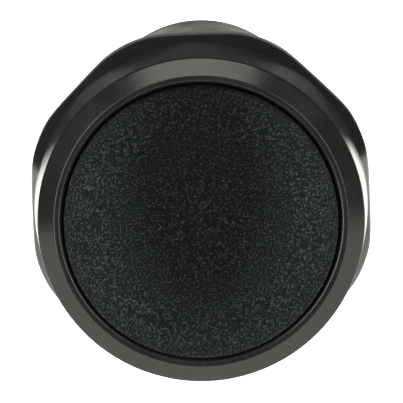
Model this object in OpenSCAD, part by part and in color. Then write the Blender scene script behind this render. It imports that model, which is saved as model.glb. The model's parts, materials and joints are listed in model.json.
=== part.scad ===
// Flush industrial push button for a 22 mm panel hole, with one normally closed and one
// normally open contact in a one-piece body. Millimetres.
// Frame: the button's axis is Y. The cap faces -Y, the terminals face +Y, and +Z is up.
// Origin: on the axis, in the rear face of the gasket, which is where the panel's front lies.

/* [Bezel] */
// Outer diameter of the bezel's front ring
bezel_d = 28; // [27.8:0.1:28.2]
// Distance from the panel to the front of the ring
bezel_h = 13; // [12.9:0.1:13.4]
// Depth of the ring's sloping face
ring_slope = 0.95; // [0.7:0.05:1.2]
// Diameter of the hole that the cap moves in
cap_bore_d = 23.7; // [23.6:0.05:23.75]
// Size of the flange across its flats
flange_flats = 29.5; // [29.4:0.1:29.8]
// Diameter of the circle that rounds the flange's corners
flange_round_d = 30.4; // [30.2:0.1:30.8]
// Thickness of the flange at its rim
flange_t = 2.4; // [2:0.2:2.8]
// Angle between the flange's sloping front and the axis
flange_slope = 33; // [30:1:38]

/* [Cap] */
// Diameter of the cap
cap_d = 23.4; // [23.2:0.02:23.44]
// How far the cap's rim stands in front of the ring
cap_proud = 0.6; // [0.1:0.1:0.8]
// Depth of the hollow in the cap's face
cap_dish = 0.25; // [0.1:0.05:0.4]
// Travel of the cap from rest to its stop
travel = 4.5; // [4:0.1:4.5]

/* [Barrel] */
// Outer diameter of the thread
barrel_d = 22; // [21.9:0.05:22.1]
// Length of the barrel behind the panel's front
barrel_len = 16; // [16:0.1:16.4]
// Pitch of the thread
thread_pitch = 1.5; // [1.4:0.1:1.5]
// Thickness of panel that the nut is parked for
panel_t = 3; // [2.2:0.1:4]

/* [Rear body] */
// Diameter of the rear body
rear_d = 20.2; // [20:0.1:20.3]
// Length behind the panel's front
rear_len = 47; // [46.8:0.1:48]
// Width across the two flats that the screws are reached from
rear_flats = 16.4; // [16.2:0.1:16.6]

/* [Contacts] */
// Height of each contact pair above or below the axis
contact_z = 2.8; // [2.7:0.05:2.9]
// Distance of the contact tips from the middle plane
contact_x = 4.9; // [4.8:0.05:5]
// Gap between the open contacts at rest
open_gap = 2.5; // [2.3:0.1:2.6]
// Spring travel that keeps the closed contact closed at rest
closed_overtravel = 1; // [0.9:0.05:1.1]

/* [Hidden] */
$fn = 72;
eps = 0.01;
over = 1; // how far a cutting shape runs past the face that it cuts

// Bezel: the ring's crest, its land, the skirt, and the rim and foot of the flange's slope
crest_y = -bezel_h;
bezel_r = bezel_d / 2;
cap_bore_r = cap_bore_d / 2;
lip_r = 0.38;
land_w = 0.32;
land_r = cap_bore_r + lip_r + land_w;
edge_r = 0.2;
skirt_flare = 0.38;
skirt_r = bezel_r + skirt_flare;
gasket_proud = 0.3;
flange_y1 = -gasket_proud;
rim_y = flange_y1 - flange_t;
foot_y = rim_y - (flange_round_d / 2 - skirt_r) / tan(flange_slope);

// Gasket, in a recess of the flange's rear face
gasket_ri = 11.9;
gasket_ro = 13.7;
gasket_t = 1;
gasket_room = 0.1;

// Barrel: the plain neck, the thread and the slot for the washer's tongue
barrel_r = barrel_d / 2;
barrel_chamfer = 0.5;
neck_len = 2;
thread_depth = 0.92;
thread_crest = 0.19;
thread_root = 0.375;
thread_turns = floor((barrel_len - neck_len - barrel_chamfer - 0.1) / thread_pitch);
thread_flank = (thread_pitch - thread_crest - thread_root) / 2;
slot_w = 3;
slot_floor = 9.95;
slot_y0 = 0.8;

// Stem: the plunger's sliding part, its bore and the room behind the bore's shoulder
stem_bore_r = 8.8;
stem_r = 8.72;
stem_ri = 7.2;
shoulder_y = 7;
counterbore_r = 9.3;
stem_end_y = 9.2;
stem_floor_t = 1.2;
key_w = 2;
key_r = 9.2;
key_slot_w = 2.2;
key_slot_r = 9.45;
key_slot_over = 0.5;
seal_y = 1.3;
seal_wire = 1.06;
seal_groove_w = 1.4;
seal_gap = 0.02;
seal_mean_r = stem_bore_r - seal_gap - seal_wire / 2;
seal_groove_r = seal_mean_r - seal_wire / 2 - seal_gap;
clip_room = 0.05;
clip_y0 = shoulder_y + clip_room;
clip_t = 0.75;
clip_groove_r = 8.2;
clip_r = 9.15;

// Cap: shell, boss and edge
cap_r = cap_d / 2;
cap_y0 = crest_y - cap_proud;
cap_edge = 0.22;
cap_wall_ri = 10.4;
cap_side = 5.2;
cap_t = 1.5;
boss_r = 2.5;
boss_len = 2.4;
boss_room = 0.05;
plate_r = 10.2;
plate_t = 1.1;
plate_y0 = cap_y0 + cap_t;
plate_y1 = plate_y0 + plate_t;
socket_r = 4;
socket_len = 2.2;

// Floor of the bezel, just behind the pressed cap's side wall
floor_room = 0.4;
cap_floor_y = cap_y0 + cap_side + travel + floor_room;

// Rib of the stem, short enough to stay in its keyway when pressed
key_y0 = cap_floor_y + 0.5;
key_y1 = shoulder_y - 1;

// Nut and washer
washer_t = 1.2;
washer_ri = 11.15;
washer_ro = 13.3;
tongue_w = 2.7;
tongue_z0 = 10.1;
tongue_root = 0.3;
tooth_gap_w = 0.7;
tooth_gap_depth = 0.3;
tooth_pitch_a = 20;
lug_w = 3;
lug_r = 11.85;
lug_len = 1;
lug_root = 0.05;
nut_y0 = panel_t + washer_t;
nut_t = 5;
nut_r = 13.2;
nut_bore_r = barrel_r + 0.08;
nut_grips = 18;
grip_r = 0.9;
grip_out = 0.5;
nut_collar = 1;
nut_chamfer = 0.5;
nut_edge = 0.2;
notch_w = 2.4;
notch_depth = 1.2;

// Springs
coil_sides = 8;
coil_steps = 20;
coil_end = 0.8;
return_wire = 0.6;
return_r = 9.5;
return_turns = 3.8;
contact_wire = 0.3;
contact_coil_r = 1.15;
contact_turns = 5.6;

// Carrier
neck_r = 2;
neck_room = 0.1;
head_r = 2.7;
head_t = 1.08;
head_room = 0.02;
carrier_disc_r = 7.6;
carrier_disc_t = 1.4;
carrier_w = 6.6;
carrier_h = 11.2;
carrier_y1 = 28.2;
window_z0 = 1;
window_z1 = 4.6;
guide_r = 2.4;
guide_bore_r = 2.48;
guide_y1 = 34;
guide_bore_y1 = 39.2;
spring_post_r = 0.7;
nc_post_len = 1.6;
no_post_len = 1.2;

// Bridges and fixed contacts, from the two contact faces
bridge_half = 5.9;
bridge_w = 3;
bridge_t = 0.6;
bridge_corner = 0.4;
tip_r = 1;
tip_t = 0.6;
nc_face_y = 20.9;
nc_bridge_y0 = nc_face_y + tip_t;
nc_window_y0 = nc_bridge_y0 - closed_overtravel;
nc_window_y1 = 26.8;
no_bridge_y0 = 23.3;
no_bridge_y1 = no_bridge_y0 + bridge_t;
no_window_y0 = 18.4;
window_room = 0.1;
no_window_y1 = no_bridge_y1 + window_room;
no_face_y = no_bridge_y1 + tip_t + open_gap;

// Terminal strips
strip_t = 0.7;
strip_room = 0.05;
strip_x0 = 3.9;
strip_x1 = 7;
jog_y = 34.6;
pad_x0 = 4.4;
pad_y0 = 37;
pad_y1 = 45;
pad_w = 4.6;
terminal_z = 2.9;

// Screws and clamps
screw_y = 41;
screw_r = 1.45;
screw_room = 0.1;
screw_thread_play = 0.03;
screw_tip_x = 2.4;
clamp_x0 = 6.05;
clamp_t = 0.65;
clamp_half = 2.5;
head_x1 = 8;
screw_head_r = 2.3;
head_slot_w = 0.7;
head_slot_depth = 0.7;
cross_half = 1.6;

// Rear body
rear_r = rear_d / 2;
tube_ri = 8.7;
spigot_ro = 9.27;
spigot_ri = 8.2;
spigot_len = 2;
tube_edge = 0.3;
tube_floor_t = 0.8;
groove_w = 3;
groove_depth = 0.35;
groove_end = 3;
vent_w = 1;
vent_y0 = 23;
vent_y1 = 29;
block_y0 = 34.5;
cover_t = 1;
cover_y0 = rear_len - cover_t;
block_spigot_r = 8.62;
block_spigot_len = 1.5;
bay_y0 = 36.6;
bay_y1 = pad_y1 + 0.2;
bay_w = 4.9;
entry_x0 = 5;
entry_x1 = 7.6;
entry_w = 3;
hook_w = 3;
hook_z0 = 8;
hook_t = 0.9;
hook_len = 4.5;
hook_room = 0.1;
hook_nose_len = 0.8;
hook_nose = 0.4;
cover_edge = 0.35;

// Moves a shape drawn about Z so that it stands about Y, with its height running to the rear
module along_y() {
    rotate([-90, 0, 0]) children();
}

// Solid of revolution about Y from points [radius, y]
module turned(points) {
    along_y() rotate_extrude() polygon(points);
}

// Ring about Y from y0 to y1
module ring(ro, ri, y0, y1) {
    turned([[ri, y0], [ro, y0], [ro, y1], [ri, y1]]);
}

// Cylinder about Y from y0 to y1
module rod(r, y0, y1) {
    along_y() translate([0, 0, y0]) cylinder(r = r, h = y1 - y0);
}

// Cylinder along X from x0 to x1
module cross_rod(r, x0, x1, y, z) {
    translate([x0, y, z]) rotate([0, 90, 0]) cylinder(r = r, h = x1 - x0);
}

// Box from its lowest to its highest corner
module box(low, high) {
    translate(low) cube(high - low);
}

// Its children, and their mirror images left to right
module both_sides() {
    children();
    mirror([1, 0, 0]) children();
}

// Its children, and their mirror images above and below
module both_levels() {
    children();
    mirror([0, 0, 1]) children();
}

// Points of an arc from angle a0 to a1
function arc(centre, r, a0, a1, steps = 6) =
    [for (i = [0 : steps]) centre + r * [cos(a0 + (a1 - a0) * i / steps),
                                         sin(a0 + (a1 - a0) * i / steps)]];

// Bottom of the arc that gives a hollow of the cap's dish over a radius
function dish_r(r) = (r * r + cap_dish * cap_dish) / (2 * cap_dish);

// Height of a coil's wire after some turns: closed end coils, open ones between
function coil_z(turn, turns, wire, free) =
    turn < coil_end ? wire / 2 + wire * turn
    : turn > turns - coil_end ? free - wire / 2 - wire * (turns - turn)
    : let (low = wire / 2 + wire * coil_end)
      low + (free - 2 * low) * (turn - coil_end) / (turns - 2 * coil_end);

// Coil spring about Y from y0 to y1
module coil(r, wire, y0, y1, turns) {
    steps = round(coil_steps * turns);
    points = [for (i = [0 : steps]) for (k = [0 : coil_sides - 1])
        let (turn = turns * i / steps,
             around = 360 * k / coil_sides,
             reach = r + wire / 2 * cos(around))
        [reach * cos(360 * turn), reach * sin(360 * turn),
         coil_z(turn, turns, wire, y1 - y0) + wire / 2 * sin(around)]];
    walls = [for (i = [0 : steps - 1]) for (k = [0 : coil_sides - 1])
        let (a = i * coil_sides + k,
             b = i * coil_sides + (k + 1) % coil_sides)
        each [[a, b, b + coil_sides], [a, b + coil_sides, a + coil_sides]]];
    start = [for (k = [1 : coil_sides - 2]) [0, k + 1, k]];
    last = steps * coil_sides;
    finish = [for (k = [1 : coil_sides - 2]) [last, last + k, last + k + 1]];
    along_y() translate([0, 0, y0])
        polyhedron(points, concat(walls, start, finish), convexity = 10);
}

// Outline of the bezel, the neck and the thread, front to rear, then the bore back to the front
function housing_outline() = concat(
    arc([cap_bore_r + lip_r, crest_y + lip_r], lip_r, 180, 270),
    [[land_r, crest_y]],
    arc([bezel_r - edge_r, crest_y + ring_slope + edge_r], edge_r, -60, 0, 4),
    [[skirt_r, foot_y],
     [skirt_r, flange_y1],
     [barrel_r, flange_y1],
     [barrel_r, neck_len]],
    [for (i = [0 : thread_turns - 1]) each thread_groove(neck_len + i * thread_pitch)],
    [[barrel_r, barrel_len - barrel_chamfer],
     [barrel_r - barrel_chamfer, barrel_len],
     [counterbore_r, barrel_len],
     [counterbore_r, shoulder_y],
     [stem_bore_r, shoulder_y],
     [stem_bore_r, cap_floor_y],
     [cap_bore_r, cap_floor_y]]);

// One groove of the thread, from the crest in front of it to the crest behind it
function thread_groove(y) = [
    [barrel_r, y],
    [barrel_r - thread_depth, y + thread_flank],
    [barrel_r - thread_depth, y + thread_flank + thread_root],
    [barrel_r, y + 2 * thread_flank + thread_root]];

// Octagonal flange with round corners and a sloping front
module flange() {
    flat_r = flange_flats / 2;
    round_r = flange_round_d / 2;
    inner_r = skirt_r - over;
    difference() {
        turned([[inner_r, foot_y], [skirt_r, foot_y], [round_r, rim_y], [round_r, flange_y1],
                [inner_r, flange_y1]]);
        for (a = [0 : 45 : 315]) rotate([0, a, 0]) {
            box([flat_r, foot_y - over, -bezel_r], [flat_r + over, flange_y1 + eps, bezel_r]);
            translate([flat_r, rim_y, 0]) rotate([0, 0, -flange_slope])
                box([0, -3 * over, -bezel_r], [over, 0, bezel_r]);
        }
    }
}

// Bezel, flange and threaded barrel, one moulding
module front_housing() {
    color("#1c1c1e") difference() {
        union() {
            turned(housing_outline());
            flange();
        }
        ring(gasket_ro + gasket_room, gasket_ri - gasket_room, -gasket_t, flange_y1 + eps);
        // slot for the washer's tongue, at the top
        box([-slot_w / 2, slot_y0, slot_floor], [slot_w / 2, barrel_len + eps, barrel_r + over]);
        // keyway for the plunger's rib, at the bottom
        intersection() {
            box([-key_slot_w / 2, cap_floor_y - key_slot_over, -barrel_r],
                [key_slot_w / 2, shoulder_y + key_slot_over, 0]);
            rod(key_slot_r, cap_floor_y - over, shoulder_y + over);
        }
    }
}

// Rubber ring between the flange and the panel
module panel_gasket() {
    color("#2b2b2b") ring(gasket_ro, gasket_ri, -gasket_t, 0);
}

// Steel washer with a tongue in the barrel's slot and a lug for the panel's notch
module keyed_washer() {
    color("silver") {
        difference() {
            union() {
                ring(washer_ro, washer_ri, panel_t, panel_t + washer_t);
                box([-tongue_w / 2, panel_t, tongue_z0],
                    [tongue_w / 2, panel_t + washer_t, washer_ri + tongue_root]);
            }
            for (a = [0 : tooth_pitch_a : 359]) rotate([0, a, 0])
                box([washer_ro - tooth_gap_depth, panel_t - eps, -tooth_gap_w / 2],
                    [washer_ro + over, nut_y0 + eps, tooth_gap_w / 2]);
        }
        box([-lug_w / 2, panel_t - lug_len, washer_ri + lug_root],
            [lug_w / 2, panel_t, lug_r]);
    }
}

// Round nut with gripping grooves and four notches for a spanner
module lock_nut() {
    y1 = nut_y0 + nut_t;
    color("#3a3a3c") difference() {
        turned([[nut_bore_r, nut_y0], [nut_r - nut_edge, nut_y0], [nut_r, nut_y0 + nut_edge],
                [nut_r, y1 - nut_chamfer], [nut_r - nut_chamfer, y1],
                [nut_bore_r + nut_chamfer, y1], [nut_bore_r, y1 - nut_chamfer]]);
        for (i = [0 : nut_grips - 1]) rotate([0, 360 * i / nut_grips, 0])
            translate([nut_r + grip_out, 0, 0]) rod(grip_r, nut_y0 + nut_collar, y1 + eps);
        for (a = [45 : 90 : 315]) rotate([0, a, 0])
            box([nut_bore_r - over, y1 - notch_depth, -notch_w / 2],
                [nut_r + over, y1 + eps, notch_w / 2]);
    }
}

// Cap with a dished face, a side wall and a boss for the plunger's socket
module button_cap() {
    face_r = cap_r - cap_edge;
    sphere_r = dish_r(face_r);
    sweep = asin(face_r / sphere_r);
    color("#242628") union() {
        turned(concat(
            arc([0, cap_y0 + cap_dish - sphere_r], sphere_r, 90, 90 - sweep, 16),
            arc([face_r, cap_y0 + cap_edge], cap_edge, -75, 0, 5),
            [[cap_r, cap_y0 + cap_side],
             [cap_wall_ri, cap_y0 + cap_side],
             [cap_wall_ri, plate_y0],
             [0, plate_y0]]));
        rod(boss_r, plate_y0 - eps, plate_y0 + boss_len);
    }
}

// Stem that slides in the barrel, with the plate that carries the cap
module plunger() {
    color("#d8d5cb") {
        difference() {
            union() {
                rod(plate_r, plate_y0, plate_y1);
                rod(stem_r, plate_y1 - eps, stem_end_y);
                intersection() {
                    box([-key_w / 2, key_y0, -key_r - over], [key_w / 2, key_y1, 0]);
                    rod(key_r, cap_floor_y, shoulder_y);
                }
            }
            difference() {
                rod(stem_ri, plate_y1, stem_end_y - stem_floor_t);
                rod(socket_r, plate_y1 - eps, plate_y1 + socket_len);
            }
            rod(boss_r + boss_room, plate_y0 - eps, plate_y1 + socket_len + eps);
            rod(neck_r + neck_room, stem_end_y - stem_floor_t - eps, stem_end_y + eps);
            ring(stem_r + over, seal_groove_r,
                seal_y - seal_groove_w / 2, seal_y + seal_groove_w / 2);
            ring(stem_r + over, clip_groove_r, clip_y0, clip_y0 + clip_t + clip_room);
        }
    }
}

// O-ring in the stem's groove
module stem_seal() {
    color("#101010") along_y() translate([0, 0, seal_y])
        rotate_extrude() translate([seal_mean_r, 0]) circle(r = seal_wire / 2, $fn = 24);
}

// Open spring clip in the stem's rear groove
module stem_clip() {
    color("silver") difference() {
        ring(clip_r, clip_groove_r, clip_y0, clip_y0 + clip_t);
        rotate([0, 45, 0])
            box([0, clip_y0 - over, 0], [clip_r + over, clip_y0 + clip_t + over, clip_r + over]);
    }
}

// Spring around the stem, between the bezel's floor and the plunger's plate
module return_spring() {
    color("silver") coil(return_r, return_wire, plate_y1, cap_floor_y, return_turns);
}

// Slider that carries both bridges in its windows
module contact_carrier() {
    half_w = carrier_w / 2;
    head_y1 = stem_end_y - stem_floor_t - head_room;
    color("#b9b6a8") {
        rod(head_r, head_y1 - head_t, head_y1);
        rod(neck_r, head_y1 - eps, stem_end_y + eps);
        rod(carrier_disc_r, stem_end_y, stem_end_y + carrier_disc_t);
        difference() {
            box([-half_w, stem_end_y + carrier_disc_t - eps, -carrier_h / 2],
                [half_w, carrier_y1, carrier_h / 2]);
            box([-half_w - over, nc_window_y0, window_z0],
                [half_w + over, nc_window_y1, window_z1]);
            box([-half_w - over, no_window_y0, -window_z1],
                [half_w + over, no_window_y1, -window_z0]);
        }
        translate([0, 0, contact_z])
            rod(spring_post_r, nc_window_y1 - nc_post_len, nc_window_y1 + eps);
        translate([0, 0, -contact_z])
            rod(spring_post_r, no_window_y0 - eps, no_window_y0 + no_post_len);
        rod(guide_r, carrier_y1 - eps, guide_y1);
    }
}

// Tube around the contacts, with a spigot that presses into the barrel
module contact_housing() {
    color("#1c1c1e") difference() {
        turned([[spigot_ri, barrel_len - spigot_len], [spigot_ro, barrel_len - spigot_len],
                [spigot_ro, barrel_len], [rear_r - tube_edge, barrel_len],
                [rear_r, barrel_len + tube_edge], [rear_r, block_y0],
                [tube_ri, block_y0], [tube_ri, barrel_len + tube_floor_t],
                [spigot_ri, barrel_len + tube_floor_t]]);
        // four shallow grooves along the outside, and a vent on each side
        for (a = [45 : 90 : 315]) rotate([0, a, 0])
            box([rear_r - groove_depth, barrel_len + groove_end, -groove_w / 2],
                [rear_r + over, block_y0 - groove_end, groove_w / 2]);
        both_sides() box([tube_ri - over, vent_y0, -vent_w / 2],
            [rear_r + over, vent_y1, vent_w / 2]);
    }
}

// Room for one terminal strip, screw and clamp, on the right above the axis
module terminal_bay() {
    box([pad_x0, bay_y0, terminal_z - bay_w / 2], [rear_r, bay_y1, terminal_z + bay_w / 2]);
    z0 = contact_z - bridge_w / 2 - strip_room;
    z1 = contact_z + bridge_w / 2 + strip_room;
    box([pad_x0, jog_y, z0], [pad_x0 + strip_t + strip_room, bay_y0 + eps, z1]);
    box([pad_x0, jog_y - strip_room, z0],
        [strip_x1 + strip_room, jog_y + strip_t + strip_room, z1]);
    box([strip_x1 - strip_t - strip_room, block_y0 - block_spigot_len - eps, z0],
        [strip_x1 + strip_room, jog_y + strip_t, z1]);
    cross_rod(screw_r + screw_room, screw_tip_x - screw_room, pad_x0 + eps, screw_y, terminal_z);
}

// Wire entry behind one terminal, on the right above the axis
module wire_entry(y0, y1) {
    box([entry_x0, y0, terminal_z - entry_w / 2], [entry_x1, y1, terminal_z + entry_w / 2]);
}

// Rear body section between its two flats
module rear_section(y0, y1) {
    intersection() {
        rod(rear_r, y0, y1);
        box([-rear_flats / 2, y0 - over, -rear_r - over],
            [rear_flats / 2, y1 + over, rear_r + over]);
    }
}

// Insulating block with a bay for each terminal
module terminal_block() {
    color("#1c1c1e") difference() {
        union() {
            rear_section(block_y0, cover_y0);
            rod(block_spigot_r, block_y0 - block_spigot_len, block_y0 + eps);
        }
        both_levels() both_sides() {
            terminal_bay();
            wire_entry(bay_y1 - eps, cover_y0 + eps);
        }
        rod(guide_bore_r, block_y0 - block_spigot_len - eps, guide_bore_y1);
        both_levels() hook_shape(hook_room);
    }
}

// Snap hook of the rear cover, grown by a clearance
module hook_shape(room) {
    box([-hook_w / 2 - room, cover_y0 - hook_len - room, hook_z0 - room],
        [hook_w / 2 + room, cover_y0 + eps, hook_z0 + hook_t + room]);
    box([-hook_w / 2 - room, cover_y0 - hook_len - room, hook_z0 - room],
        [hook_w / 2 + room, cover_y0 - hook_len + hook_nose_len + room,
         hook_z0 + hook_t + hook_nose + room]);
}

// End plate with the four wire entries and two snap hooks
module rear_cover() {
    color("#1c1c1e") {
        difference() {
            intersection() {
                rear_section(cover_y0, rear_len);
                turned([[0, cover_y0 - over], [rear_r, cover_y0 - over],
                        [rear_r, rear_len - cover_edge],
                        [rear_r - cover_edge, rear_len], [0, rear_len]]);
            }
            both_levels() both_sides() wire_entry(cover_y0 - eps, rear_len + eps);
        }
        both_levels() hook_shape(0);
    }
}

// Bridge plate from y0, at a height z
module bridge(y0, z) {
    color("#b87333") difference() {
        box([-bridge_half, y0, z - bridge_w / 2], [bridge_half, y0 + bridge_t, z + bridge_w / 2]);
        both_sides() translate([bridge_half, 0, 0]) both_corners(z)
            rotate([0, 45, 0]) box([-bridge_corner, y0 - over, -bridge_corner],
                [bridge_corner, y0 + bridge_t + over, bridge_corner]);
    }
}

// Its children at the two ends of a bridge's edge, at a height z
module both_corners(z) {
    for (side = [-1, 1]) translate([0, 0, z + side * bridge_w / 2]) children();
}

// Pair of round contact tips from y0 to y1, at a height z
module tips(y0, y1, z) {
    color("#d9dde0") both_sides() translate([contact_x, 0, z]) rod(tip_r, y0, y1);
}

module nc_bridge() {
    bridge(nc_bridge_y0, contact_z);
}

module nc_bridge_tips() {
    tips(nc_face_y, nc_bridge_y0, contact_z);
}

// Spring that holds the closed bridge against its contacts
module nc_contact_spring() {
    color("silver") translate([0, 0, contact_z])
        coil(contact_coil_r, contact_wire, nc_bridge_y0 + bridge_t, nc_window_y1, contact_turns);
}

module no_bridge() {
    bridge(no_bridge_y0, -contact_z);
}

module no_bridge_tips() {
    tips(no_bridge_y1, no_bridge_y1 + tip_t, -contact_z);
}

// Spring that presses the open bridge on once it has closed
module no_contact_spring() {
    color("silver") translate([0, 0, -contact_z])
        coil(contact_coil_r, contact_wire, no_window_y0, no_bridge_y0, contact_turns);
}

// Left and right terminal strips above the axis, with the contact arm from arm_y
module strips(arm_y) {
    pad_x1 = pad_x0 + strip_t;
    color("#c9a23f") both_sides() difference() {
        union() {
            translate([0, 0, contact_z - bridge_w / 2]) linear_extrude(bridge_w) polygon([
                [strip_x0, arm_y], [strip_x1, arm_y], [strip_x1, jog_y + strip_t],
                [pad_x1, jog_y + strip_t], [pad_x1, pad_y1], [pad_x0, pad_y1], [pad_x0, jog_y],
                [strip_x1 - strip_t, jog_y], [strip_x1 - strip_t, arm_y + strip_t],
                [strip_x0, arm_y + strip_t]]);
            box([pad_x0, pad_y0, terminal_z - pad_w / 2], [pad_x1, pad_y1, terminal_z + pad_w / 2]);
        }
        cross_rod(screw_r + screw_thread_play, pad_x0 - over, pad_x1 + over,
            screw_y, terminal_z);
    }
}

module nc_terminals() {
    strips(nc_face_y - tip_t - strip_t);
}

module nc_fixed_tips() {
    tips(nc_face_y - tip_t, nc_face_y, contact_z);
}

module no_terminals() {
    mirror([0, 0, 1]) strips(no_face_y + tip_t);
}

module no_fixed_tips() {
    tips(no_face_y, no_face_y + tip_t, -contact_z);
}

// Four clamp plates under the screw heads, each with a lip that stops the wire
module wire_clamps() {
    half = pad_w / 2;
    color("#c8c8c4") both_levels() both_sides() difference() {
        union() {
            box([clamp_x0, screw_y - clamp_half, terminal_z - half],
                [clamp_x0 + clamp_t, screw_y + clamp_half, terminal_z + half]);
            box([pad_x0 + strip_t + strip_room, screw_y - clamp_half, terminal_z - half],
                [clamp_x0 + eps, screw_y - clamp_half + clamp_t, terminal_z + half]);
        }
        cross_rod(screw_r + screw_room, clamp_x0 - over, clamp_x0 + clamp_t + over,
            screw_y, terminal_z);
    }
}

// Four terminal screws with a crossed slot
module terminal_screws() {
    head_x0 = clamp_x0 + clamp_t;
    floor_x = head_x1 - head_slot_depth;
    color("#c8c8c4") both_levels() both_sides() difference() {
        union() {
            cross_rod(screw_head_r, head_x0, head_x1, screw_y, terminal_z);
            cross_rod(screw_r, screw_tip_x, head_x0 + eps, screw_y, terminal_z);
        }
        translate([0, screw_y, terminal_z]) {
            box([floor_x, -head_slot_w / 2, -screw_head_r - over],
                [head_x1 + over, head_slot_w / 2, screw_head_r + over]);
            box([floor_x, -cross_half, -head_slot_w / 2],
                [head_x1 + over, cross_half, head_slot_w / 2]);
        }
    }
}

front_housing();
panel_gasket();
keyed_washer();
lock_nut();
button_cap();
plunger();
stem_seal();
stem_clip();
return_spring();
contact_carrier();
contact_housing();
terminal_block();
rear_cover();
nc_bridge();
nc_bridge_tips();
nc_contact_spring();
no_bridge();
no_bridge_tips();
no_contact_spring();
nc_terminals();
nc_fixed_tips();
no_terminals();
no_fixed_tips();
wire_clamps();
terminal_screws();
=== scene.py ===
"""Flush industrial push button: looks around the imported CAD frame.

The frame is the CAD model's: the button's axis is Y, the cap faces -Y and +Z is up. The camera
and the studio are in metres. Sizes of pieces and materials are in millimetres, scaled by MM.
"""
import json
import math

import bmesh
import bpy
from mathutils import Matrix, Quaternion, Vector

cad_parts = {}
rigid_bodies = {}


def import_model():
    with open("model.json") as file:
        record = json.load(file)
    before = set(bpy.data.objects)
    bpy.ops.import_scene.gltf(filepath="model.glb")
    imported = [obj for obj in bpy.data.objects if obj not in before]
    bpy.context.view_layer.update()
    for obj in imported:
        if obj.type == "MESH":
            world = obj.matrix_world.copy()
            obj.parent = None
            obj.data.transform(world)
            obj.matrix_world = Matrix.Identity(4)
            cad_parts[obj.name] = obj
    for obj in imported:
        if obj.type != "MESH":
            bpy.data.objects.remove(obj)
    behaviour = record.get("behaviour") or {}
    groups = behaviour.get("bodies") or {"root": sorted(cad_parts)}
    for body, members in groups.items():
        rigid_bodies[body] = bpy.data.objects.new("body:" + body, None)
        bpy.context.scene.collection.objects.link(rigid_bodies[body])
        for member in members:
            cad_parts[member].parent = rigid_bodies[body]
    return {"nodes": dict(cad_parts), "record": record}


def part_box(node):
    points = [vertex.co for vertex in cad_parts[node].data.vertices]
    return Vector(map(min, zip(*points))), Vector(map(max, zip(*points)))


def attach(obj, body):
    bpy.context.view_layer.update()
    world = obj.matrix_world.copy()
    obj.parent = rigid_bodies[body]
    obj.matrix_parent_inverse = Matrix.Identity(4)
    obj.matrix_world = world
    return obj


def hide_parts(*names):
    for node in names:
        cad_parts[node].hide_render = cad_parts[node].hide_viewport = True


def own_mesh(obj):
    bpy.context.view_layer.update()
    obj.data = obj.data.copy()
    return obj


for leftover in list(bpy.data.objects):
    bpy.data.objects.remove(leftover)
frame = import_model()
bpy.context.view_layer.update()
NODES = frame["nodes"]
BODY_OF = {node: body for body, nodes in frame["record"]["behaviour"]["bodies"].items()
           for node in nodes}
SLOT_OF = {s["node"]: s["material_slot"] for s in frame["record"]["subparts"]}
MM = 0.001
TURN = 2 * math.pi

# ---------------------------------------------------------------- camera
CAM_AZIMUTH = math.radians(0.33)
CAM_ELEVATION = math.radians(8.5)
CAM_ROLL = math.radians(-2.2)
CAM_DISTANCE = 0.558
CAM_LENS = 585.0
CAM_CLIP = (0.01, 20)
# the point in the middle of the picture, from the middle of the bezel's front ring
CAM_RIGHT = 0.03 * MM
CAM_UP = 1.73 * MM

# ---------------------------------------------------------------- studio, in metres
# the floor and the front wall reach this far; what shines behind the object is smaller
REACH, FLOOR_Z = 3.0, -0.06
NEAR_FLOOR_Y0, NEAR_FLOOR_Y1, FAR_FLOOR_Y1 = -0.14, 0.25, 1.2
BACK_HALF_WIDTH, BACK_TOP = 0.52, 0.42
# how brightly the room and the cards glow
ROOM_GLOW, FLOOR_GLOW, NEAR_GLOW, FAR_GLOW = 0.05, 1.1, 0.95, 2.4
BACK_GLOW, FRONT_GLOW = 0.46, 0.14
LIGHT_TINT = (1.0, 1.01, 0.93)
CARD_COLOR, CARD_ROUGHNESS = (0.8, 0.8, 0.8, 1), 0.9
# place, point it faces, width and height, power
SOFTBOX = ((0, -0.42, 0.66), (0, 0, 0), (0.62, 0.5), 3.0)
STRIP_PLACE, STRIP_SIZE, STRIP_POWERS = (0.50, -0.72, 0.12), (0.30, 0.8), (5.0, 3.2)


def place_camera():
    """The camera, a long way off on the button's axis and a little above it."""
    ring_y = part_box("front_housing")[0].y
    back = Vector((math.sin(CAM_AZIMUTH) * math.cos(CAM_ELEVATION),
                   -math.cos(CAM_AZIMUTH) * math.cos(CAM_ELEVATION),
                   math.sin(CAM_ELEVATION)))
    turn = (-back).to_track_quat("-Z", "Y") @ Quaternion((0, 0, 1), CAM_ROLL)
    right, up = turn @ Vector((1, 0, 0)), turn @ Vector((0, 1, 0))
    target = Vector((0, ring_y, 0)) + right * CAM_RIGHT + up * CAM_UP
    data = bpy.data.cameras.new("camera")
    data.lens = CAM_LENS
    data.clip_start, data.clip_end = CAM_CLIP
    camera = bpy.data.objects.new("camera", data)
    camera.rotation_mode = "QUATERNION"
    camera.rotation_quaternion = turn
    camera.location = target + back * CAM_DISTANCE
    bpy.context.scene.collection.objects.link(camera)
    bpy.context.scene.camera = camera


# ---------------------------------------------------------------- lights and floor
def area_light(name, place, aim, size, power):
    """A soft rectangular light at place, shining at aim."""
    data = bpy.data.lights.new(name, "AREA")
    data.shape = "RECTANGLE"
    data.size, data.size_y = size
    data.energy = power
    data.color = LIGHT_TINT
    light = bpy.data.objects.new(name, data)
    light.location = place
    light.rotation_mode = "QUATERNION"
    light.rotation_quaternion = (Vector(aim) - Vector(place)).to_track_quat("-Z", "Y")
    bpy.context.scene.collection.objects.link(light)


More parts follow.
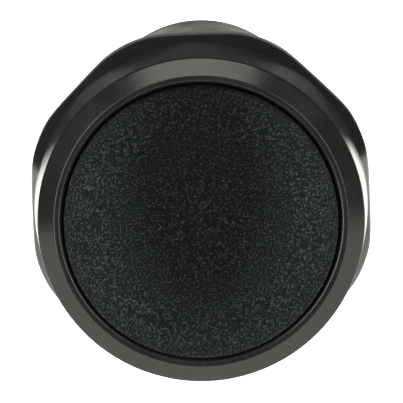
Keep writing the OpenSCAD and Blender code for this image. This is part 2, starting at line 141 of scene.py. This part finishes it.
def card(name, corners, glow, seen=False):
    """A plain white card of the studio: seen by the camera, or only shining on the object."""
    mesh = bpy.data.meshes.new(name)
    mesh.from_pydata(corners, [], [(0, 1, 2, 3)])
    sheet = bpy.data.objects.new(name, mesh)
    bpy.context.scene.collection.objects.link(sheet)
    paint = bpy.data.materials.new(name)
    paint.use_nodes = True
    shader = paint.node_tree.nodes["Principled BSDF"]
    tint = (1, 1, 1) if seen else LIGHT_TINT
    shader.inputs["Base Color"].default_value = CARD_COLOR
    shader.inputs["Roughness"].default_value = CARD_ROUGHNESS
    shader.inputs["Emission Color"].default_value = (*tint, 1)
    shader.inputs["Emission Strength"].default_value = glow
    mesh.materials.append(paint)
    sheet.visible_camera = seen
    sheet.visible_diffuse = not seen
    sheet.visible_glossy = not seen
    sheet.visible_shadow = False


def level(y0, y1):
    """Corners of a level card on the floor, between two distances."""
    return [(-REACH, y0, FLOOR_Z), (REACH, y0, FLOOR_Z), (REACH, y1, FLOOR_Z),
            (-REACH, y1, FLOOR_Z)]


def upright(half_width, y, top):
    """Corners of an upright card that stands on the floor."""
    return [(-half_width, y, FLOOR_Z), (half_width, y, FLOOR_Z), (half_width, y, top),
            (-half_width, y, top)]


def room():
    """A dim room that the camera sees as white."""
    scene = bpy.context.scene
    scene.view_settings.view_transform = "Standard"
    scene.view_settings.look = "None"
    world = bpy.data.worlds.new("studio")
    scene.world = world
    world.use_nodes = True
    tree = world.node_tree
    dim = tree.nodes["Background"]
    dim.inputs["Color"].default_value = (ROOM_GLOW, ROOM_GLOW, ROOM_GLOW, 1)
    white = tree.nodes.new("ShaderNodeBackground")
    white.inputs["Color"].default_value = (1, 1, 1, 1)
    mix = tree.nodes.new("ShaderNodeMixShader")
    path = tree.nodes.new("ShaderNodeLightPath")
    tree.links.new(path.outputs["Is Camera Ray"], mix.inputs[0])
    tree.links.new(dim.outputs[0], mix.inputs[1])
    tree.links.new(white.outputs[0], mix.inputs[2])
    tree.links.new(mix.outputs[0], tree.nodes["World Output"].inputs["Surface"])


def studio():
    """White floor, low backdrop, dim wall in front, a softbox above and a strip each side."""
    room()
    card("floor", level(-REACH, REACH), FLOOR_GLOW, seen=True)
    card("floor_near", level(NEAR_FLOOR_Y0, NEAR_FLOOR_Y1), NEAR_GLOW)
    card("floor_far", level(NEAR_FLOOR_Y1, FAR_FLOOR_Y1), FAR_GLOW)
    card("backdrop", upright(BACK_HALF_WIDTH, REACH, BACK_TOP), BACK_GLOW)
    card("front_wall", upright(REACH, -REACH, REACH), FRONT_GLOW)
    area_light("softbox", *SOFTBOX)
    across, along, up = STRIP_PLACE
    for side, name, power in zip((-1, 1), ("strip_left", "strip_right"), STRIP_POWERS):
        area_light(name, (side * across, along, up), (0, 0, 0), STRIP_SIZE, power)


# ---------------------------------------------------------------- materials
# where most of a noise texture's values lie, and a narrower band for colours
NOISE_SPAN, COLOR_BAND = (0.3, 0.7), (0.35, 0.65)
# fine marks: detail and roughness of their noise; broad ones: size and detail
FINE, BLOTCH, CLOUD = (3.0, 0.6), (4.0, 3.0), (1.6, 2.0)
# how far the gloss varies about its mean
PLASTIC_GLOSS, METAL_GLOSS = (-0.05, 0.05), (-0.08, 0.1)
# stretch of a metal's marks, drawn out along one axis
ALONG_X, ALONG_Y = (0.15, 1, 1), (1, 0.15, 1)
HOUSING_BLACK = (0.0124, 0.0131, 0.0128)
# the cap: mean colour of its pale grains, the ground between them, and the grain's relief,
# which is so deep that it breaks up every reflection
CAP_GRAIN, CAP_GROUND, CAP_RELIEF = (0.0545, 0.0600, 0.0640), (0.0008, 0.0022, 0.0040), 1.5
# painted sheen in place of reflected light: the cap is palest at its sides and foot,
# outwards from an oval about a point above its middle: span of the oval's radii, gain and lift
CAP_PAINTED_SHEEN = ((4.2, 9.2), 2.2, 0.0120)
SHEEN_OVAL_SQUASH, SHEEN_OVAL_Z = 0.55, 3.0


def new_material(name):
    """A material with its node tree and its shader."""
    material = bpy.data.materials.new(name)
    material.use_nodes = True
    tree = material.node_tree
    return material, tree, tree.nodes["Principled BSDF"]


def place_node(tree, stretch=(1, 1, 1), shift=(0, 0, 0)):
    """Object coordinates in millimetres, stretched along the axes and then shifted."""
    where = tree.nodes.new("ShaderNodeTexCoord")
    scale = tree.nodes.new("ShaderNodeMapping")
    scale.inputs["Scale"].default_value = [k / MM for k in stretch]
    scale.inputs["Location"].default_value = shift
    tree.links.new(where.outputs["Object"], scale.inputs["Vector"])
    return scale.outputs["Vector"]


def noise(tree, place, grain, detail=2.0, rough=0.5):
    """Noise whose blobs are grain millimetres across."""
    node = tree.nodes.new("ShaderNodeTexNoise")
    node.inputs["Scale"].default_value = 1 / grain
    node.inputs["Detail"].default_value = detail
    node.inputs["Roughness"].default_value = rough
    tree.links.new(place, node.inputs["Vector"])
    return node.outputs["Fac"]


def ramp(tree, value, low, high, band=COLOR_BAND):
    """Colours from low to high across a band of a texture's values."""
    node = tree.nodes.new("ShaderNodeValToRGB")
    for stop, where, color in zip(node.color_ramp.elements, band, (low, high)):
        stop.position = where
        stop.color = (*color, 1)
    tree.links.new(value, node.inputs["Fac"])
    return node.outputs["Color"]


def mapped(tree, value, span, low, high):
    """The value, mapped from a span onto low to high."""
    node = tree.nodes.new("ShaderNodeMapRange")
    for socket, number in zip(("From Min", "From Max", "To Min", "To Max"), (*span, low, high)):
        node.inputs[socket].default_value = number
    tree.links.new(value, node.inputs["Value"])
    return node.outputs["Result"]


def math_node(tree, operation, a, b):
    """The result of an operation on two sockets or numbers."""
    node = tree.nodes.new("ShaderNodeMath")
    node.operation = operation
    for socket, value in zip(node.inputs, (a, b)):
        if isinstance(value, float):
            socket.default_value = value
        else:
            tree.links.new(value, socket)
    return node.outputs[0]


def bump(tree, shader, height, depth):
    """Relief of depth millimetres from a texture's height."""
    node = tree.nodes.new("ShaderNodeBump")
    node.inputs["Strength"].default_value = 1.0
    node.inputs["Distance"].default_value = depth * MM
    tree.links.new(height, node.inputs["Height"])
    tree.links.new(node.outputs["Normal"], shader.inputs["Normal"])


def painted_side_sheen(tree, color, span, gain, lift):
    """Painted sheen: the colour, growing paler by gain and lift over a span of radii of the cap's
    oval, in place of reflected light.
    """
    across = tree.nodes.new("ShaderNodeVectorMath")
    across.operation = "LENGTH"
    tree.links.new(place_node(tree, (1, 0, SHEEN_OVAL_SQUASH), (0, 0, -SHEEN_OVAL_SQUASH * SHEEN_OVAL_Z)),
                   across.inputs[0])
    paler = tree.nodes.new("ShaderNodeVectorMath")
    paler.operation = "MULTIPLY_ADD"
    tree.links.new(color, paler.inputs[0])
    for target, low, high in ((paler.inputs[1], 1, gain), (paler.inputs[2], 0, lift)):
        tree.links.new(mapped(tree, across.outputs["Value"], span, low, high), target)
    return paler.outputs["Vector"]


def shade(color, factor):
    """The colour, made lighter or darker by a factor."""
    return tuple(c * factor for c in color)


def plastic(name, color, spread, rough, grain, depth, specular=0.5, band=COLOR_BAND,
            clouds=0.3, ground=None, rim=None):
    """Moulded plastic: slightly uneven colour and gloss, and a fine surface grain.

    The colour goes from its darker spread, or from ground, to its lighter one. Clouds is the
    share of broad blotches in it, and rim paints a sheen of light that makes it paler outwards.
    """
    material, tree, shader = new_material(name)
    place = place_node(tree)
    fine = noise(tree, place, grain, *FINE)
    broad = noise(tree, place, *BLOTCH)
    mixed = math_node(tree, "ADD", math_node(tree, "MULTIPLY", fine, 1 - clouds),
                      math_node(tree, "MULTIPLY", broad, clouds))
    paint = ramp(tree, mixed, ground or shade(color, 1 - spread), shade(color, 1 + spread),
                 band)
    # painted sheen: paler outwards, in place of reflected light
    if rim:
        paint = painted_side_sheen(tree, paint, *rim)
    tree.links.new(paint, shader.inputs["Base Color"])
    tree.links.new(mapped(tree, broad, NOISE_SPAN, *(rough + by for by in PLASTIC_GLOSS)),
                   shader.inputs["Roughness"])
    shader.inputs["Specular IOR Level"].default_value = specular
    bump(tree, shader, fine, depth)
    return material


def metal(name, color, rough, grain, depth, stretch=(1, 1, 1), spread=0.08):
    """Metal of slightly uneven colour, with fine drawn or rolled marks."""
    material, tree, shader = new_material(name)
    marks = noise(tree, place_node(tree, stretch), grain, *FINE)
    cloud = noise(tree, place_node(tree), *CLOUD)
    tree.links.new(ramp(tree, cloud, shade(color, 1 - spread), shade(color, 1 + spread)),
                   shader.inputs["Base Color"])
    tree.links.new(mapped(tree, marks, NOISE_SPAN, *(rough + by for by in METAL_GLOSS)),
                   shader.inputs["Roughness"])
    shader.inputs["Metallic"].default_value = 1.0
    bump(tree, shader, marks, depth)
    return material


def make_materials():
    """The materials, by the slot that they fill."""
    # the cap's rim is a painted sheen, paler at its sides and foot in place of reflected light
    cap = plastic("cap_grain_and_painted_sheen", CAP_GRAIN, 1.0, 0.4, 0.17, CAP_RELIEF, 0.15,
                  band=(0.51, 0.82), clouds=0.0, ground=CAP_GROUND, rim=CAP_PAINTED_SHEEN)
    mats = {
        "black_housing": plastic("housing_black", HOUSING_BLACK, 0.25, 0.22, 0.25, 0.0003),
        "cap_plastic": cap,
        "nut_plastic": plastic("nut_black", (0.026, 0.026, 0.027), 0.45, 0.48, 0.12, 0.004),
        "natural_plastic": plastic("acetal", (0.70, 0.68, 0.60), 0.05, 0.4, 0.3, 0.002),
        "grey_plastic": plastic("carrier_grey", (0.42, 0.40, 0.36), 0.08, 0.5, 0.25, 0.003),
        "rubber_seal": plastic("rubber", (0.014, 0.014, 0.014), 0.3, 0.8, 0.15, 0.006, 0.3),
        "spring_steel": metal("spring_wire", (0.56, 0.56, 0.55), 0.26, 0.08, 0.001),
        "zinc_steel": metal("zinc_plate", (0.50, 0.52, 0.54), 0.3, 0.25, 0.0015),
        "copper_alloy": metal("rolled_copper", (0.72, 0.40, 0.24), 0.3, 0.1, 0.001, ALONG_X),
        "terminal_brass": metal("stamped_brass", (0.76, 0.58, 0.26), 0.3, 0.1, 0.001, ALONG_Y),
        "silver_alloy": metal("contact_silver", (0.80, 0.79, 0.76), 0.34, 0.15, 0.002),
    }
    for slot, material in mats.items():
        material["slot"] = slot
    return mats


# ---------------------------------------------------------------- meshes, in millimetres
# edges sharper than this, in degrees, stay sharp in a piece's shading
SHARP, CAP_SHARP, COIL_SHARP = 32, 40, 50
# points closer than this are one, in metres
SAME_POINT = 1e-7
# a smaller radius than this is a point on the axis
ON_AXIS = 1e-6


def add_piece(name, bm, node, materials, sharp=SHARP):
    """A piece from a bmesh, which stands for a CAD node and rides with its body."""
    bmesh.ops.recalc_face_normals(bm, faces=bm.faces)
    mesh = bpy.data.meshes.new(name)
    bm.to_mesh(mesh)
    bm.free()
    mesh.shade_smooth()
    mesh.set_sharp_from_angle(angle=math.radians(sharp))
    piece = bpy.data.objects.new(name, mesh)
    bpy.context.scene.collection.objects.link(piece)
    mesh.materials.append(materials[SLOT_OF[node]])
    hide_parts(node)
    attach(piece, BODY_OF[node])
    return piece


def rounded(points, steps=4, closed=True):
    """The polyline of points [r, y, radius] with each corner rounded by its radius."""
    out = []
    count = len(points)
    for i, (r, y, radius) in enumerate(points):
        here = Vector((r, y))
        if radius <= 0 or (not closed and i in (0, count - 1)):
            out.append(here)
            continue
        to_prev = (Vector(points[i - 1][:2]) - here).normalized()
        to_next = (Vector(points[(i + 1) % count][:2]) - here).normalized()
        half = to_prev.angle(to_next) / 2
        reach = radius / math.tan(half)
        centre = here + (to_prev + to_next).normalized() * (radius / math.sin(half))
        start, end = here + to_prev * reach - centre, here + to_next * reach - centre
        sweep = start.angle_signed(end)
        for k in range(steps + 1):
            a = -sweep * k / steps
            out.append(centre + Vector((start.x * math.cos(a) - start.y * math.sin(a),
                                        start.x * math.sin(a) + start.y * math.cos(a))))
    return out


def spin_point(r, y, angle):
    """A point at radius r and height y in millimetres, turned about Y."""
    return (r * math.cos(angle) * MM, y * MM, r * math.sin(angle) * MM)


def add_face(bm, *corners):
    """A face between the corners, with those that are the same taken once."""
    corners = list(dict.fromkeys(corners))
    if len(corners) > 2:
        bm.faces.new(corners)


def lathe(profile, columns=192):
    """Bmesh of a closed profile, or of one that starts and ends on the axis."""
    bm = bmesh.new()
    rings = []
    for r, y in profile:
        if r < ON_AXIS:
            rings.append([bm.verts.new((0, y * MM, 0))] * columns)
        else:
            rings.append([bm.verts.new(spin_point(r, y, TURN * i / columns))
                          for i in range(columns)])
    on_axis = profile[0][0] < ON_AXIS
    for k in range(len(rings) - 1 if on_axis else len(rings)):
        a, b = rings[k], rings[(k + 1) % len(rings)]
        for i in range(columns):
            j = (i + 1) % columns
            add_face(bm, a[i], a[j], b[j], b[i])
    return bm


# front housing: bezel
CREST_Y, BEZEL_R, BORE_R, LIP_R, LAND_R, BEZEL_SLOPE = -13.0, 14.0, 11.85, 0.38, 12.55, 0.95
LAND_EDGE, BEZEL_EDGE, SKIRT_BEND, SKIRT_END = 0.18, 0.3, 0.5, 1.2
# skirt and flange; the soft widths are those over which one face turns into the next
SKIRT_R, RIM_Y, FLANGE_Y1, FLANGE_SLOPE = 14.38, -2.7, -0.3, math.radians(33)
FLAT_R, CORNER_R, FLAT_SOFTNESS = 14.75, 15.2, 90
RIM_SOFT, FOOT_SOFT, RIM_EDGE, FLANGE_STEPS = 0.2, 0.06, 0.12, 30
SKIRT_Y1 = RIM_Y - (CORNER_R - SKIRT_R) / math.tan(FLANGE_SLOPE)
# the gasket's recess, and the gasket
RECESS_RI, RECESS_RO, RECESS_Y = 11.8, 13.8, -1.0
GASKET_RI, GASKET_RO, GASKET_ROUND = 11.9, 13.7, 0.15
# barrel
BARREL_R, NECK_END, THREAD_END, BARREL_END, BARREL_CHAMFER = 11.0, 2.0, 15.4, 16.0, 0.5
COUNTERBORE_R, SHOULDER_Y, STEM_BORE_R, FLOOR_Y = 9.3, 7.0, 8.8, -3.5
HOUSING_COLUMNS = 224
PITCH = 1.5
# the thread's grooves: how far along the pitch, and how deep
THREAD = ((0, 0.05), (0.05, 0), (0.14, 0), (0.19, 0.05), (0.62, 0.86), (0.69, 0.92),
          (1.0, 0.92), (1.07, 0.86))
THREAD_FADE = 0.7
# the slot for the washer's tongue, and the one that guides the stem's key
SLOT_W, SLOT_FLOOR, SLOT_Y0 = 3.0, 9.95, 0.8
KEY_SLOT_W, KEY_SLOT_R0, KEY_SLOT_R1 = 2.2, 8.0, 9.45


def octagon_r(angle):
    """Radius of the flange's outline: eight flats and eight round corners, run together."""
    from_flat = (angle + math.pi / 8) % (math.pi / 4) - math.pi / 8
    flat = FLAT_R / math.cos(from_flat)
    power = FLAT_SOFTNESS
    return (flat ** -power + CORNER_R ** -power) ** (-1 / power)


def soft_max(a, b, width):
    """The larger of two numbers, with the change between them rounded over a width."""
    return (a + b + math.hypot(a - b, width)) / 2


def flange_r(angle, y):
    """Radius of the flange's sloping front and rim, which run into each other and the skirt."""
    slope = math.tan(FLANGE_SLOPE)
    inset = soft_max((RIM_Y - y) * slope, 0, RIM_SOFT)
    # the rest of the inset fades out along the rim
    rest = soft_max((RIM_Y - FLANGE_Y1) * slope, 0, RIM_SOFT)
    inset -= max(0, y - RIM_Y) / (FLANGE_Y1 - RIM_Y) * rest
    return soft_max(octagon_r(angle) - inset, SKIRT_R, FOOT_SOFT)


def housing_front():
    """Rows of [on flange, radius, y] from the bore's floor, over the bezel, to the neck.

    On the flange the radius is counted from the flange's outline.
    """
    bezel = rounded([
        [BORE_R, FLOOR_Y, 0.15], [BORE_R, CREST_Y, LIP_R], [LAND_R, CREST_Y, LAND_EDGE],
        [BEZEL_R, CREST_Y + BEZEL_SLOPE, BEZEL_EDGE],
        [SKIRT_R, SKIRT_Y1 - SKIRT_END, SKIRT_BEND], [SKIRT_R, SKIRT_Y1, 0]], 5, closed=False)
    rows = [(False, p.x, p.y) for p in bezel]
    length = FLANGE_Y1 - RIM_EDGE - SKIRT_Y1
    rows += [(True, 0, SKIRT_Y1 + length * k / FLANGE_STEPS) for k in range(1, FLANGE_STEPS + 1)]
    rows += [(True, -RIM_EDGE * 0.3, FLANGE_Y1 - RIM_EDGE * 0.3), (True, -RIM_EDGE, FLANGE_Y1)]
    back = rounded([
        [CORNER_R, FLANGE_Y1, 0], [RECESS_RO, FLANGE_Y1, 0.06], [RECESS_RO, RECESS_Y, 0.1],
        [RECESS_RI, RECESS_Y, 0.1], [RECESS_RI, FLANGE_Y1, 0.06], [BARREL_R, FLANGE_Y1, 0.15],
        [BARREL_R, NECK_END, 0]], 3, closed=False)
    return rows + [(False, p.x, p.y) for p in back[1:]]


def housing_rear():
    """Points [radius, y] from the thread's end, through the barrel, to the bore's floor."""
    return rounded([
        [BARREL_R, THREAD_END, 0], [BARREL_R, BARREL_END - BARREL_CHAMFER, 0],
        [BARREL_R - BARREL_CHAMFER, BARREL_END, 0.1], [COUNTERBORE_R, BARREL_END, 0.15],
        [COUNTERBORE_R, SHOULDER_Y, 0.1], [STEM_BORE_R, SHOULDER_Y, 0.1],
        [STEM_BORE_R, FLOOR_Y, 0.15], [BORE_R, FLOOR_Y, 0.15]], 3, closed=False)[:-1]


def front_point(row, angle):
    """Radius and y, at an angle, of a row of the front."""
    on_flange, r, y = row
    return (r + flange_r(angle, min(y, FLANGE_Y1 - RIM_EDGE)), y) if on_flange else (r, y)


def thread_point(row, angle):
    """Radius and y, at an angle, of a row of the thread, which fades out at both ends."""
    along, depth = row
    y = NECK_END - PITCH + along + PITCH * angle / TURN
    y = min(max(y, NECK_END), THREAD_END)
    fade = min((y - NECK_END) / THREAD_FADE, (THREAD_END - y) / THREAD_FADE, 1)
    return BARREL_R - depth * fade, y


def housing_skin():
    """Bmesh of the front housing without its slots: front, helical thread and rear."""
    bm = bmesh.new()
    front = housing_front()
    turns = math.ceil((THREAD_END - NECK_END) / PITCH) + 1
    helix = [(turn * PITCH + along, depth) for turn in range(turns) for along, depth in THREAD]
    rear = [(p.x, p.y) for p in housing_rear()]
    table = []
    for i in range(HOUSING_COLUMNS):
        angle = TURN * i / HOUSING_COLUMNS
        points = [front_point(row, angle) for row in front]
        points += [thread_point(row, angle) for row in helix] + rear
        table.append([bm.verts.new(spin_point(r, y, angle)) for r, y in points])
    first, last = len(front), len(front) + len(helix) - 1
    one_pitch = len(THREAD)
    count = len(table[0])
    for i, here in enumerate(table):
        there = table[(i + 1) % HOUSING_COLUMNS]
        for k in range(count):
            n = (k + 1) % count
            if i < HOUSING_COLUMNS - 1 or not first <= k < last:
                add_face(bm, here[k], there[k], there[n], here[n])
            # the thread climbs one pitch in a turn, so its rows meet one pitch on
            elif n + one_pitch <= last:
                add_face(bm, here[k], there[k + one_pitch], there[n + one_pitch], here[n])
            else:
                add_face(bm, here[k], there[last], here[n])
    bmesh.ops.remove_doubles(bm, verts=bm.verts, dist=SAME_POINT)
    bmesh.ops.dissolve_degenerate(bm, edges=bm.edges, dist=SAME_POINT)
    return bm


def front_housing(materials):
    """Ring, skirt, octagonal flange and threaded barrel in one moulding, with two slots cut."""
    piece = add_piece("bezel_and_barrel", housing_skin(), "front_housing", materials)
    cutters = [cutter_box((-SLOT_W / 2, SLOT_Y0, SLOT_FLOOR),
                          (SLOT_W / 2, BARREL_END + 1, BARREL_R + 1)),
               cutter_box((-KEY_SLOT_W / 2, FLOOR_Y - 0.5, -KEY_SLOT_R1),
                          (KEY_SLOT_W / 2, SHOULDER_Y + 0.5, -KEY_SLOT_R0))]
    for cutter in cutters:
        slot = piece.modifiers.new("cut", "BOOLEAN")
        slot.object = cutter
        slot.operation = "DIFFERENCE"
        slot.solver = "EXACT"
    bake(piece)
    smooth(piece, SHARP)
    for cutter in cutters:
        bpy.data.objects.remove(cutter)


def cutter_box(low, high):
    """A box that cuts a slot; it is removed again."""
    bm = bmesh.new()
    bmesh.ops.create_cube(bm, size=1)
    for v in bm.verts:
        v.co = Vector([(low[k] + (high[k] - low[k]) * (v.co[k] + 0.5)) * MM for k in range(3)])
    mesh = bpy.data.meshes.new("cutter")
    bm.to_mesh(mesh)
    bm.free()
    cutter = bpy.data.objects.new("cutter", mesh)
    bpy.context.scene.collection.objects.link(cutter)
    return cutter


def bake(piece):
    """Turns a piece's modifiers into its mesh."""
    bpy.context.view_layer.update()
    piece.data = bpy.data.meshes.new_from_object(
        piece.evaluated_get(bpy.context.evaluated_depsgraph_get()))
    piece.modifiers.clear()


def smooth(piece, sharp):
    """Smooth shading between edges sharper than an angle in degrees; big flat faces stay flat."""
    piece.data.shade_smooth()
    piece.data.set_sharp_from_angle(angle=math.radians(sharp))
    flat_faces = piece.modifiers.new("flat_faces", "WEIGHTED_NORMAL")
    flat_faces.keep_sharp = True
    bake(piece)


# cap
CAP_R, CAP_Y0, CAP_DISH, CAP_EDGE, CAP_REAR, CAP_WALL_RI = 11.7, -13.6, 0.25, 0.22, -8.4, 10.4
CAP_PLATE_Y, BOSS_R, BOSS_END = -12.1, 2.5, -9.7
DISH_STEPS, EDGE_STEPS = 40, 8


def button_cap(materials):
    """Dished face with a soft edge, side wall and boss."""
    face_r = CAP_R - CAP_EDGE
    sphere_r = (face_r ** 2 + CAP_DISH ** 2) / (2 * CAP_DISH)
    dish = []
    for k in range(DISH_STEPS + 1):
        r = face_r * k / DISH_STEPS
        drop = sphere_r - math.sqrt(sphere_r ** 2 - r ** 2)
        dish.append(Vector((r, CAP_Y0 + CAP_DISH - drop)))
    edge = [Vector((face_r + CAP_EDGE * math.sin(a), CAP_Y0 + CAP_EDGE * (1 - math.cos(a))))
            for a in (math.pi / 2 * k / EDGE_STEPS for k in range(1, EDGE_STEPS + 1))]
    rear = rounded([
        [CAP_R, CAP_Y0 + 2, 0], [CAP_R, CAP_REAR, 0.15], [CAP_WALL_RI, CAP_REAR, 0.15],
        [CAP_WALL_RI, CAP_PLATE_Y, 0.2], [BOSS_R, CAP_PLATE_Y, 0.2], [BOSS_R, BOSS_END, 0.2],
        [0, BOSS_END, 0]], 4, closed=False)
    add_piece("cap", lathe(dish + edge + rear), "button_cap", materials, CAP_SHARP)


def gasket(materials):
    """Ring with rounded edges in the flange's recess."""
    outline = rounded([[GASKET_RI, RECESS_Y, GASKET_ROUND], [GASKET_RO, RECESS_Y, GASKET_ROUND],
                       [GASKET_RO, 0, GASKET_ROUND], [GASKET_RI, 0, GASKET_ROUND]])
    add_piece("gasket", lathe(outline), "panel_gasket", materials)


def o_ring(materials, sides=24):
    """Round ring as large as its CAD node."""
    low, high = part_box("stem_seal")
    wire = (high.y - low.y) / MM / 2
    mean = high.x / MM - wire
    mid = (high.y + low.y) / MM / 2
    outline = [Vector((mean + wire * math.cos(a), mid + wire * math.sin(a)))
               for a in (TURN * k / sides for k in range(sides))]
    add_piece("o_ring", lathe(outline, 144), "stem_seal", materials)


# turns of a coil spring that lie closed at each end
COIL_END = 0.8
# radius, wire and turns of the springs, and the contact springs' distance from the axis
RETURN_COIL, CONTACT_COIL, CONTACT_COIL_Z = (9.5, 0.6, 3.8), (1.15, 0.3, 5.6), 2.8


def coil_height(turn, turns, wire, free):
    """Height of the wire's middle after some turns: closed end coils, open ones between."""
    low = wire / 2 + wire * COIL_END
    if turn < COIL_END:
        return wire / 2 + wire * turn
    if turn > turns - COIL_END:
        return free - wire / 2 - wire * (turns - turn)
    return low + (free - 2 * low) * (turn - COIL_END) / (turns - 2 * COIL_END)


def coil(name, node, r, wire, turns, materials, z=0.0, sides=14, per_turn=48):
    """A smooth coil spring between the two ends of its CAD node."""
    low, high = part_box(node)
    y0, free = low.y / MM, (high.y - low.y) / MM
    steps = round(turns * per_turn)
    bm = bmesh.new()
    rings = []
    for i in range(steps + 1):
        turn = turns * i / steps
        height = coil_height(turn, turns, wire, free)
        ring = []
        for k in range(sides):
            around = TURN * k / sides
            reach = r + wire / 2 * math.cos(around)
            x, y, up = spin_point(reach, y0 + height + wire / 2 * math.sin(around), -TURN * turn)
            ring.append(bm.verts.new((x, y, up + z * MM)))
        rings.append(ring)
    for a, b in zip(rings, rings[1:]):
        for k in range(sides):
            n = (k + 1) % sides
            bm.faces.new((a[k], a[n], b[n], b[k]))
    bm.faces.new(rings[0])
    bm.faces.new(list(reversed(rings[-1])))
    return add_piece(name, bm, node, materials, COIL_SHARP)


# in degrees: edges sharper than this are rounded, and flatter ones than that are removed
ROUNDED_EDGE, FLAT_EDGE = 28, 0.5


def softened(name, node, materials, width):
    """The CAD node's shape with its flat faces cleaned and its sharp edges rounded."""
    bm = bmesh.new()
    bm.from_mesh(NODES[node].data)
    bmesh.ops.remove_doubles(bm, verts=bm.verts, dist=SAME_POINT)
    bmesh.ops.dissolve_limit(bm, angle_limit=math.radians(FLAT_EDGE), verts=bm.verts,
                             edges=bm.edges, delimit={"NORMAL"})
    piece = add_piece(name, bm, node, materials, ROUNDED_EDGE)
    soft = piece.modifiers.new("edges", "BEVEL")
    soft.width = width * MM
    soft.segments = 2
    soft.limit_method = "ANGLE"
    soft.angle_limit = math.radians(ROUNDED_EDGE)
    soft.use_clamp_overlap = False
    soft.miter_outer = "MITER_ARC"
    bake(piece)
    smooth(piece, ROUNDED_EDGE + 10)


# piece, CAD node, width of its rounded edges
SOFTENED = (
    ("tongue_washer", "keyed_washer", 0.05), ("lock_ring", "lock_nut", 0.12),
    ("stem", "plunger", 0.08), ("circlip", "stem_clip", 0.05),
    ("contact_slider", "contact_carrier", 0.08), ("contact_tube", "contact_housing", 0.1),
    ("terminal_body", "terminal_block", 0.06), ("end_cover", "rear_cover", 0.06),
    ("closed_bridge_bar", "nc_bridge", 0.06), ("closed_bridge_buttons", "nc_bridge_tips", 0.08),
    ("open_bridge_bar", "no_bridge", 0.06), ("open_bridge_buttons", "no_bridge_tips", 0.08),
    ("closed_strips", "nc_terminals", 0.06), ("closed_fixed_buttons", "nc_fixed_tips", 0.08),
    ("open_strips", "no_terminals", 0.06), ("open_fixed_buttons", "no_fixed_tips", 0.08),
    ("clamp_plates", "wire_clamps", 0.06), ("screws", "terminal_screws", 0.08),
)

place_camera()
studio()
MATERIALS = make_materials()
for node_name, node in NODES.items():
    for material_slot in node.material_slots:
        material_slot.material = MATERIALS[SLOT_OF[node_name]]
front_housing(MATERIALS)
button_cap(MATERIALS)
gasket(MATERIALS)
o_ring(MATERIALS)
for piece_name, node_name, width in SOFTENED:
    softened(piece_name, node_name, MATERIALS, width)
spring = coil("return_coil", "return_spring", *RETURN_COIL, MATERIALS)
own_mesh(spring)
coil("closed_contact_coil", "nc_contact_spring", *CONTACT_COIL, MATERIALS, CONTACT_COIL_Z)
open_coil = coil("open_contact_coil", "no_contact_spring", *CONTACT_COIL, MATERIALS,
                 -CONTACT_COIL_Z)
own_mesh(open_coil)

bpy.context.view_layer.update()
